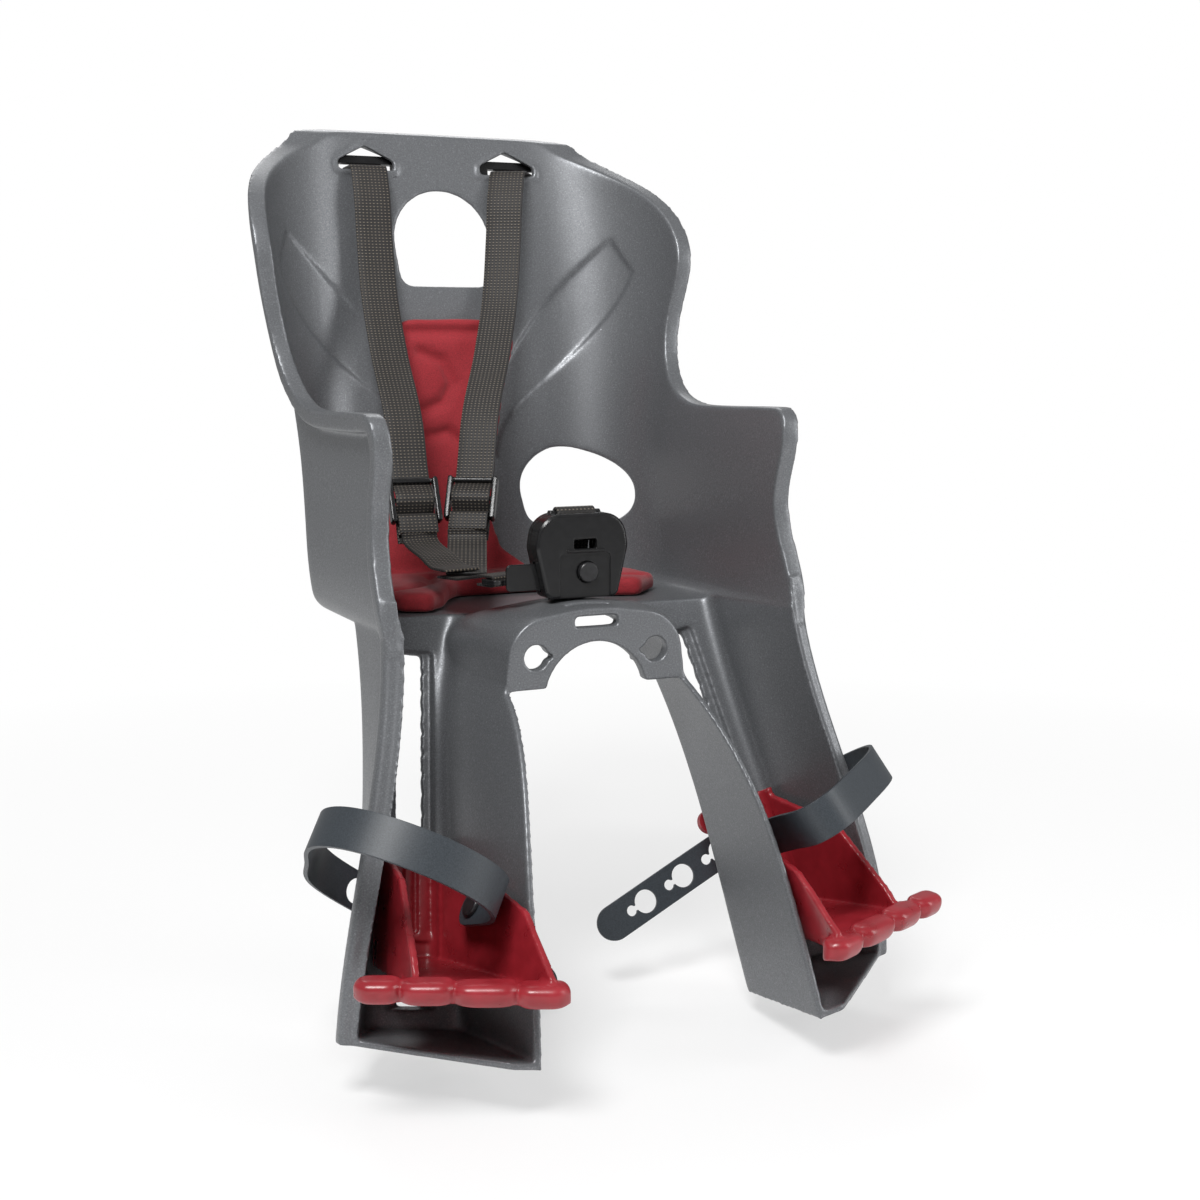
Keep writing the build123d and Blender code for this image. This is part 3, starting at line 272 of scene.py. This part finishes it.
# %% [markdown]
# The foot straps are a soft rubber, blue grey and satin, with a powdery grain that keeps highlights wide. The grain
# of such rubber is typically under 0.1 mm, so it is drawn at 0.8 mm.

# %% Blue-grey rubber of the foot straps
powder_size, strap_edge = 0.0008, 0.0006
rubber_material, tree, shader = start_material("rubber_blue_grey", Roughness=0.45)
place = add_node(tree, "TexCoord").outputs["Object"]
powder = add_node(tree, "TexNoise", {"Vector": place, "Scale": 1 / powder_size, "Detail": 3.0}).outputs["Fac"]
rubber = add_node(tree, "ValToRGB", {"Fac": powder}, stops=((0.3, "2c3136"), (0.7, "3b4147")))
edge = add_node(tree, "Bevel", {"Radius": strap_edge}, samples=6)
bump = add_node(tree, "Bump", {"Height": powder, "Strength": 0.5, "Distance": 0.00008, "Normal": edge.outputs[0]})
tree.links.new(rubber.outputs["Color"], shader.inputs["Base Color"])
tree.links.new(bump.outputs["Normal"], shader.inputs["Normal"])

# %% [markdown]
# Each CAD node names the material slot that it is made of, so one loop dresses them all.

# %% Materials on the CAD nodes
materials = {
    "shell_plastic": shell_material, "pad_foam": pad_material, "webbing": webbing_material,
    "buckle_plastic": buckle_material, "button_plastic": button_material, "spring_steel": spring_material,
    "footrest_plastic": footrest_material, "screw_steel": screw_material, "strap_rubber": rubber_material,
}
for node, slot in slots.items():
    nodes[node].data.materials.clear()
    nodes[node].data.materials.append(materials[slot])
print("dressed", len(slots), "nodes in", len(materials), "materials")

# %% [markdown]
# Moulded plastic has no sharp edges, and the shell's rim is a soft roll all the way round. Rounding it in CAD edge
# by edge fails where many surfaces meet, and a Bevel modifier trips over the loose triangles of a CAD mesh. So a
# copy is welded, remeshed with voxels a little finer than the edges, and smoothed. The decimate step then brings it
# under the triangle limit, and a last smoothing hides its facets. The copy takes over from its CAD node.


# %% A softened copy of a CAD node
def bake(piece):
    """Applies a piece's modifiers and returns its number of triangles."""
    piece.data = bpy.data.meshes.new_from_object(piece.evaluated_get(bpy.context.evaluated_depsgraph_get()))
    piece.modifiers.clear()
    return sum(len(face.vertices) - 2 for face in piece.data.polygons)


def softened(name, node, body, voxel, iterations, factor, most=190000):
    """Copy of a CAD node with its edges rounded, which stands for the node."""
    piece = bpy.data.objects.new(name, nodes[node].data.copy())
    scene.collection.objects.link(piece)
    piece.modifiers.new("weld", "WELD").merge_threshold = 0.00002
    remesh = piece.modifiers.new("remesh", "REMESH")
    remesh.mode = "VOXEL"
    remesh.voxel_size = voxel
    remesh.use_smooth_shade = True
    smooth = piece.modifiers.new("smooth", "SMOOTH")
    smooth.iterations = iterations
    smooth.factor = factor
    triangles = bake(piece)
    if triangles > most:
        piece.modifiers.new("thin", "DECIMATE").ratio = most / triangles
        settle = piece.modifiers.new("settle", "SMOOTH")
        settle.iterations = 3
        settle.factor = 0.5
        triangles = bake(piece)
    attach(piece, body)
    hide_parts(node)
    print(name, "has", triangles, "triangles")
    return piece


# %% The shell
softened("moulded_shell", "shell", "seat", voxel=0.0011, iterations=10, factor=0.5)

# %% [markdown]
# The front of each footrest is a row of four rounded toes. The CAD toes are blocky, and rounding them there would
# need a loft for each. In the softened mesh the same is done as a sculptor would: near the front, each point is
# drawn towards the middle of its toe, more so towards the toe's sides and its nose.

# %% Rounded toes
toe_outer, toe_inner = Vector((0.1794, -0.092)), Vector((0.0795, -0.135))
toe_widths = (0.0227, 0.0278, 0.0325, 0.0258)
toe_depth, toe_height = 0.016, 0.013
# Height of the middle of the sole: at the origin, and its slopes across and along
sole_height, sole_across, sole_along = -0.1858, 0.1213, -0.1748


def toe_share(along):
    """Place of a point across its own toe: 0 in the middle, 1 at either side."""
    start = 0.0
    for width in toe_widths:
        if along < start + width or width == toe_widths[-1]:
            break
        start += width
    return max(-1.15, min(1.15, (along - start - width / 2) / (width / 2)))


def round_toes(piece, sign):
    """Turns the blocky toes of a footrest into rounded pebbles."""
    row = (toe_inner - toe_outer).normalized()
    ahead = Vector((row.y, -row.x))
    if ahead.y > 0:
        ahead = -ahead
    moved = 0
    for vert in piece.data.vertices:
        spot = Vector((vert.co.x * sign, vert.co.y)) - toe_outer
        along, front = spot.dot(row), spot.dot(ahead) / (toe_depth / 2)
        middle = sole_height + sole_across * vert.co.x * sign + sole_along * vert.co.y
        rise = (vert.co.z - middle) / (toe_height / 2)
        if front < -0.6 or along < -0.01 or along > sum(toe_widths) + 0.01 or abs(rise) > 1.3:
            continue
        share = toe_share(along)
        blend = max(0.0, min(1.0, (front + 0.6) / 0.7))
        low = 1 - blend * (0.25 * share ** 4 + 0.12 * max(front, 0.0) ** 2)
        vert.co.z = middle + rise * low * toe_height / 2
        pull = blend * max(front, 0.0) * (0.3 * share ** 4 + 0.22 * rise ** 2) * toe_depth / 2
        vert.co.x -= ahead.x * pull * sign
        vert.co.y -= ahead.y * pull
        moved += 1
    print("rounded the toes with", moved, "points")


# %% Footrests and adjusters
for side, sign in (("left", -1), ("right", 1)):
    footrest = softened(f"moulded_footrest_{side}", f"footrest_{side}", f"{side}_footrest", 0.001, 5, 0.5)
    round_toes(footrest, sign)
    softened(f"moulded_adjuster_{side}", f"strap_adjuster_{side}", "seat", 0.0005, 4, 0.5)

# %% [markdown]
# A strap is the same flat section all along its way, so its way is drawn first, as a path in an upright plane and
# in millimetres. Blender's curves could hold it, but three small functions say plainly what happens: a smooth hang
# between points, straight runs with rounded corners, and an arc round a bar.


# %% Paths in a strap's plane
def spline_path(points, start, end, steps=8):
    """Smooth path through 2-D points with given end directions."""
    points = [Vector(p) for p in points]
    runs = [b - a for a, b in zip(points, points[1:])]
    # Each inner direction leans towards the shorter of its two runs, so that the path doesn't overshoot.
    inner = [(a.normalized() * b.length + b.normalized() * a.length).normalized() for a, b in zip(runs, runs[1:])]
    ways = [Vector(start).normalized(), *inner, Vector(end).normalized()]
    path = []
    for i, run in enumerate(runs):
        for step in range(steps):
            t = step / steps
            a, b = 2 * t ** 3 - 3 * t ** 2 + 1, (t ** 3 - 2 * t ** 2 + t) * run.length
            c = (t ** 3 - t ** 2) * run.length
            path.append(points[i] * a + ways[i] * b + points[i + 1] * (1 - a) + ways[i + 1] * c)
    return path + [points[-1]]


def round_path(points, radius, steps=4):
    """Path of straight runs with its corners rounded."""
    points = [Vector(p) for p in points]
    path = [points[0]]
    for before, corner, after in zip(points, points[1:], points[2:]):
        cut = min(radius, (before - corner).length * 0.45, (after - corner).length * 0.45)
        a = corner + (before - corner).normalized() * cut
        b = corner + (after - corner).normalized() * cut
        for step in range(steps + 1):
            t = step / steps
            path.append(a * (1 - t) ** 2 + corner * 2 * t * (1 - t) + b * t ** 2)
    return path + [points[-1]]


def arc_path(center, radius, start, end, steps=10):
    """Arc between two angles in degrees."""
    angles = [radians(start + (end - start) * i / steps) for i in range(steps + 1)]
    return [Vector((center[0] + radius * cos(a), center[1] + radius * sin(a))) for a in angles]


# %% [markdown]
# The webbing itself starts as a flat grid with one row of edges for each point of the path. The UV map is laid on
# the flat grid in real metres, and only then is each row moved to its point. So the weave keeps its size round
# every bend, as it does on a strap that was woven flat. Solidify gives the 1.6 mm of the cloth, half to each side,
# and a small Bevel its worn edge.

# %% Webbing along a path
webbing_width, webbing_thickness, worn_radius = 0.025, 0.0016, 0.0005


def flat_webbing(origin, along, points, travel):
    """Mesh of a grid that is bent to the points, in the upright plane through origin."""
    side = along.cross(Vector((0, 0, 1)))
    mesh = bmesh.new()
    layer = mesh.loops.layers.uv.new("UVMap")
    bmesh.ops.create_grid(mesh, x_segments=4, y_segments=len(points) - 1, size=1.0)
    rows = {vert: round((vert.co.y + 1) / 2 * (len(points) - 1)) for vert in mesh.verts}
    for face in mesh.faces:
        face.smooth = True
        for loop in face.loops:
            loop[layer].uv = (loop.vert.co.x * webbing_width / 2, travel[rows[loop.vert]])
    for vert, row in rows.items():
        spot = points[row]
        vert.co = origin + along * spot.x + Vector((0, 0, spot.y)) + side * (vert.co.x * webbing_width / 2)
    bmesh.ops.recalc_face_normals(mesh, faces=mesh.faces)
    data = bpy.data.meshes.new("webbing")
    mesh.to_mesh(data)
    mesh.free()
    return data


def ribbon(name, origin, along, path, cad_node):
    """Webbing along a 2-D path in millimetres, which stands for a CAD strap."""
    points = [p / 1000 for p in path]
    travel = [0.0]
    for before, point in zip(points, points[1:]):
        travel.append(travel[-1] + (point - before).length)
    heading = Vector((along[0], along[1], 0)).normalized()
    data = flat_webbing(Vector(origin) / 1000, heading, points, travel)
    data.materials.append(webbing_material)
    piece = bpy.data.objects.new(name, data)
    scene.collection.objects.link(piece)
    cloth = piece.modifiers.new("thickness", "SOLIDIFY")
    cloth.thickness = webbing_thickness
    cloth.offset = 0.0
    worn_edge = piece.modifiers.new("edge", "BEVEL")
    worn_edge.width = worn_radius
    worn_edge.segments = 2
    worn_edge.limit_method = "ANGLE"
    worn_edge.angle_limit = radians(60)
    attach(piece, "seat")
    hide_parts(cad_node)
    print(name, "is", round(travel[-1] * 1000), "mm long")


# %% [markdown]
# Each shoulder strap comes through a slot in the backrest, hangs down over the pad, and is woven through its
# adjuster: over the middle bar, and back behind it to a short tail. Everything at the adjuster lies along its tilt,
# so the points there are written as steps along the tilt and away from it.

# %% Shoulder straps
slot_x, slot_y, slot_z, tail = 52.0, 262.0, 302.0, 26.0
hang_yz = ((252.0, 288.0), (244.0, 255.0), (232.0, 215.0), (205.0, 175.0), (165.0, 130.0))
adjusters = {"left": Vector((-64.0, 140.0, 82.0)), "right": Vector((-25.0, 140.0, 82.0))}
signs = {"left": -1, "right": 1}
bar_pitch, weave_height = 13.5, 3.3


def adjuster_frame(side):
    """Heading of a shoulder strap in plan, its tilt at the adjuster, the way off its face, and the slot."""
    middle = adjusters[side]
    heading = Vector((signs[side] * slot_x - middle.x, slot_y - middle.y, 0)).normalized()
    reach = 1 / heading.y
    hang = [Vector(((y - middle.y) * reach, z - middle.z)) for y, z in hang_yz]
    tilt = hang[-1].normalized()
    top = Vector(((slot_y - middle.y) * reach, slot_z - middle.z))
    return heading, tilt, Vector((-tilt.y, tilt.x)), hang, top


def shoulder_strap(side):
    """Webbing from behind the backrest to the tail below the adjuster."""
    heading, tilt, flank, hang, top = adjuster_frame(side)
    start = tilt * 20 - flank * weave_height
    behind = [top + Vector((tail, -9)), top + Vector((tail, 0)), top]
    weave = round_path([
        start, tilt * bar_pitch - flank * weave_height, tilt * 3 + flank * weave_height,
        tilt * -2 + flank * weave_height, tilt * -8.5 - flank * 4.5, tilt * -15 - flank * 6.0,
        tilt * -27 - flank * 6.4,
    ], 3.0)
    path = round_path(behind, 2.0)[:-1] + spline_path([top, *hang, start], (-1, 0), -tilt)[:-1] + weave[1:]
    ribbon(f"webbing_shoulder_{side}", adjusters[side], heading, path, f"shoulder_strap_{side}")


# %% [markdown]
# The lap straps start as a loop round the lowest bar of each adjuster. From there each turns out of the adjuster's
# plane and runs down to the place where all the straps are sewn together. A flat strap can't turn in its own plane,
# so loop and run are two ribbons that meet at the fold.

# %% Lap straps
bar, gap, thick = 3.4, 0.4, 1.6
join = Vector((-55.0, 79.0, 41.0))
loop_radius = bar / 2 + gap + thick / 2 + 0.2


def lap_strap(side):
    """A loop round the adjuster's lowest bar, and the run from it to the sewn place."""
    heading, tilt, flank = adjuster_frame(side)[:3]
    over = [tilt * (-bar_pitch - 9) - flank * loop_radius]
    for step in range(11):
        angle = radians(-90 + 18 * step)
        over.append(tilt * (-bar_pitch + loop_radius * cos(angle)) + flank * (loop_radius * sin(angle)))
    fold = tilt * (-bar_pitch - 10) + flank * loop_radius
    over.append(fold)
    ribbon(f"webbing_lap_loop_{side}", adjusters[side], heading, over, f"lap_strap_{side}")

    leave = adjusters[side] + heading * fold.x + Vector((0, 0, fold.y))
    goal = Vector((join.x + signs[side] * 3 - leave.x, join.y - leave.y, 0))
    fall, flat = goal.length, join.z + 2.2 - signs[side] * 1.2
    drop = spline_path([(0, leave.z), (fall - 24, flat + 5), (fall - 8, flat)], -tilt, (1, 0))
    drop.append(Vector((fall + 6, flat)))
    ribbon(f"webbing_lap_{side}", (leave.x, leave.y, 0), goal, drop, f"lap_strap_{side}")


# %% Both sides of the harness
for side in adjusters:
    shoulder_strap(side)
    lap_strap(side)

# %% [markdown]
# One short strap joins the sewn place to the buckle's tongue: it goes through the tongue's slot and folds back under
# itself.

# %% Tongue strap
tongue = Vector((-40.0, 41.0, 41.0))
run = Vector((tongue.x - join.x, tongue.y - join.y, 0))
tongue_half = 1.5
upper = tongue.z + tongue_half + gap + thick / 2
lower = tongue.z - tongue_half - gap - thick / 2
under = join.z - 1.4
path = round_path([
    (-9, under), (9, under), (run.length - 12, upper), (run.length, upper), (run.length, lower),
    (run.length - 14, lower),
], 1.6)
ribbon("webbing_tongue", (join.x, join.y, 0), run, path, "tongue_strap")

# %% [markdown]
# The crotch strap comes up through the pommel behind the buckle and goes over the bar at the buckle's top, which is
# the only place where it shows from the front.

# %% Crotch strap
bar_y, bar_z, wrap = 33.5, 80.0, 2.5 + gap + thick / 2
crotch_y, crotch_z = 44.0, 17.2
path = round_path([(crotch_y + 9, crotch_z), (crotch_y, crotch_z), (crotch_y, 34)], 1.8)[:-1]
path += spline_path([(crotch_y, 34), (crotch_y - 3, 58), (bar_y + wrap, bar_z)], (0, 1), (0, 1))[:-1]
path += arc_path((bar_y, bar_z), wrap, 0, 180)
path.append(Vector((bar_y - wrap, bar_z - 13)))
ribbon("webbing_crotch", (0, 0, 0), (0, 1), path, "crotch_strap")

# %% [markdown]
# The coil behind the button is drawn steel wire, wound and closed at its ends. Its turns come closer when the button
# is pressed. A rig could wind it anew at each pose, but the press is short, so a plain copy of the CAD coil stands
# for it.

# %% The button's spring
coil = bpy.data.objects.new("pressed_coil", nodes["buckle_spring"].data.copy())
scene.collection.objects.link(coil)
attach(coil, "seat")
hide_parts("buckle_spring")
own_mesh(coil)

# %% [markdown]
# The pad is a bent sheet of soft foam with channels pressed into its face. Cloth with pressure could swell it, but
# this foam is firm and only its edges are full, so the softened copy of the CAD pad has the right body already. The
# channels are drawn as chains of points on the back and on the seat, and each point of the mesh sinks by how near
# it is to a chain. A little noise keeps the face from looking turned on a machine.

# %% The channels in the pad
back_channels = (
    ((-0.028, 0.176), (-0.012, 0.17), (-0.006, 0.155), (-0.014, 0.142), (-0.03, 0.136)),
    ((-0.03, 0.118), (-0.012, 0.122), (0.0, 0.112), (0.002, 0.096), (-0.01, 0.084)),
    ((0.034, 0.186), (0.028, 0.16), (0.018, 0.13), (0.008, 0.1), (0.002, 0.07)),
    ((-0.036, 0.19), (0.036, 0.19)),
)
seat_channels = (
    ((-0.088, 0.12), (-0.07, 0.13), (-0.05, 0.15), (-0.04, 0.18)),
    ((0.09, 0.13), (0.07, 0.14), (0.05, 0.155), (0.04, 0.18)),
    ((-0.03, 0.165), (0.0, 0.16), (0.03, 0.165)),
)


def chain_distance(point, chain):
    """Distance from a 2-D point to a chain of points."""
    best = 1.0
    for a, b in zip(chain, chain[1:]):
        a, b = Vector(a), Vector(b)
        t = max(0.0, min(1.0, (point - a).dot(b - a) / (b - a).length_squared))
        best = min(best, (point - a - (b - a) * t).length)
    return best


def channel_depth(point, chains, deep, wide):
    """How far a 2-D point sinks into the channels of one face."""
    return sum(deep * exp(-(chain_distance(point, chain) / wide) ** 2) for chain in chains)


# %% The pad
pad = softened("pad_cushion", "seat_pad", "seat", voxel=0.0022, iterations=10, factor=0.6)
foam = bmesh.new()
foam.from_mesh(pad.data)
foam.normal_update()
moves = []
for vert in foam.verts:
    co, facing = vert.co, vert.normal
    move = 0.0006 * noise.noise(co * 40)
    if facing.y < -0.4 and co.z > 0.05:
        move -= channel_depth(Vector((co.x, co.z)), back_channels, 0.004, 0.004)
    elif facing.z > 0.6 and co.z < 0.045:
        move -= channel_depth(Vector((co.x, co.y)), seat_channels, 0.0035, 0.0045)
    moves.append(facing * move)
for vert, move in zip(foam.verts, moves):
    vert.co += move
for face in foam.faces:
    face.smooth = True
foam.to_mesh(pad.data)
foam.free()
print("deepest channel", round(max(move.length for move in moves) * 1000, 1), "mm")

# %% [markdown]
# The picture has a pure white ground with a soft shadow. White paper can't be lit to pure white without burning out
# the seat. So the floor takes light and shadow near the seat, and fades to a plain white glow further out. Light
# Path keeps the glow to what the camera sees, so it doesn't light the seat from below.

# %% Floor
floor_mesh = bmesh.new()
bmesh.ops.create_grid(floor_mesh, x_segments=2, y_segments=2, size=40.0)
floor_data = bpy.data.meshes.new("floor")
floor_mesh.to_mesh(floor_data)
floor_mesh.free()
floor = bpy.data.objects.new("floor", floor_data)
floor.location.z = cad_low[2] - 0.0005
scene.collection.objects.link(floor)
floor_material, tree, shader = start_material("studio_floor_white", Roughness=0.9)
shader.inputs["Base Color"].default_value = srgb("f4f4f4")
floor_data.materials.append(floor_material)
print("floor at", round(floor.location.z, 4), "m")

# %% The floor's white glow
place = add_node(tree, "TexCoord").outputs["Object"]
rays = add_node(tree, "LightPath")
glow = add_node(tree, "Emission", {"Strength": 1.0})
far = add_node(tree, "VectorMath", {0: place}, operation="LENGTH").outputs["Value"]
fade = add_node(tree, "MapRange", {"Value": far, "From Min": 0.25, "From Max": 1.2, "To Min": 0.55, "To Max": 1.0})
seen = add_node(tree, "Math", {0: rays.outputs["Is Camera Ray"], 1: fade.outputs["Result"]}, operation="MULTIPLY")
blend = add_node(tree, "MixShader", {"Fac": seen.outputs[0], 1: shader.outputs[0], 2: glow.outputs[0]})
tree.links.new(blend.outputs[0], tree.nodes["Material Output"].inputs["Surface"])
print("glow fades in from 0.25 m to 1.2 m")

# %% [markdown]
# The world does the same: the camera sees white, while the seat gets only a weak, even light from all round, so that
# its shadows stay open but don't vanish.

# %% World
world = bpy.data.worlds.new("studio")
scene.world = world
world.use_nodes = True
tree = world.node_tree
ambient = tree.nodes["Background"]
ambient.inputs["Color"].default_value = (1, 1, 1, 1)
ambient.inputs["Strength"].default_value = 0.3
white = add_node(tree, "Background", {"Color": (1, 1, 1, 1), "Strength": 1.0})
rays = add_node(tree, "LightPath")
pick = add_node(tree, "MixShader", {"Fac": rays.outputs["Is Camera Ray"], 1: ambient.outputs[0], 2: white.outputs[0]})
tree.links.new(pick.outputs[0], tree.nodes["World Output"].inputs["Surface"])
print("world", world.name)

# %% [markdown]
# Three softboxes light the seat. The key stands high on the left and draws the bright line along the rim, the fill
# is low on the right and opens the inside of the shell, and the back light parts the rim from the white ground. An
# area light can be aimed by a constraint, but turning it once towards its target is simpler.


# %% Lights
def softbox(name, place, target, size, power):
    """Area light aimed at a target."""
    light = bpy.data.lights.new(name, "AREA")
    light.shape = "RECTANGLE"
    light.size, light.size_y = size
    light.energy = power
    lamp = bpy.data.objects.new(name, light)
    lamp.location = place
    lamp.rotation_euler = (Vector(target) - Vector(place)).to_track_quat("-Z", "Y").to_euler()
    scene.collection.objects.link(lamp)
    print("light", name, power, "W")


softbox("key", (-0.75, -0.8, 1.4), (0, 0.1, 0.05), (0.6, 0.6), 30)
softbox("fill", (1.3, -0.8, 0.5), (0, 0.1, 0.0), (0.5, 1.2), 9)
softbox("back", (0.3, 1.4, 1.3), (0, 0.1, 0.2), (1.2, 0.8), 10)
scene.view_settings.view_transform = "Standard"
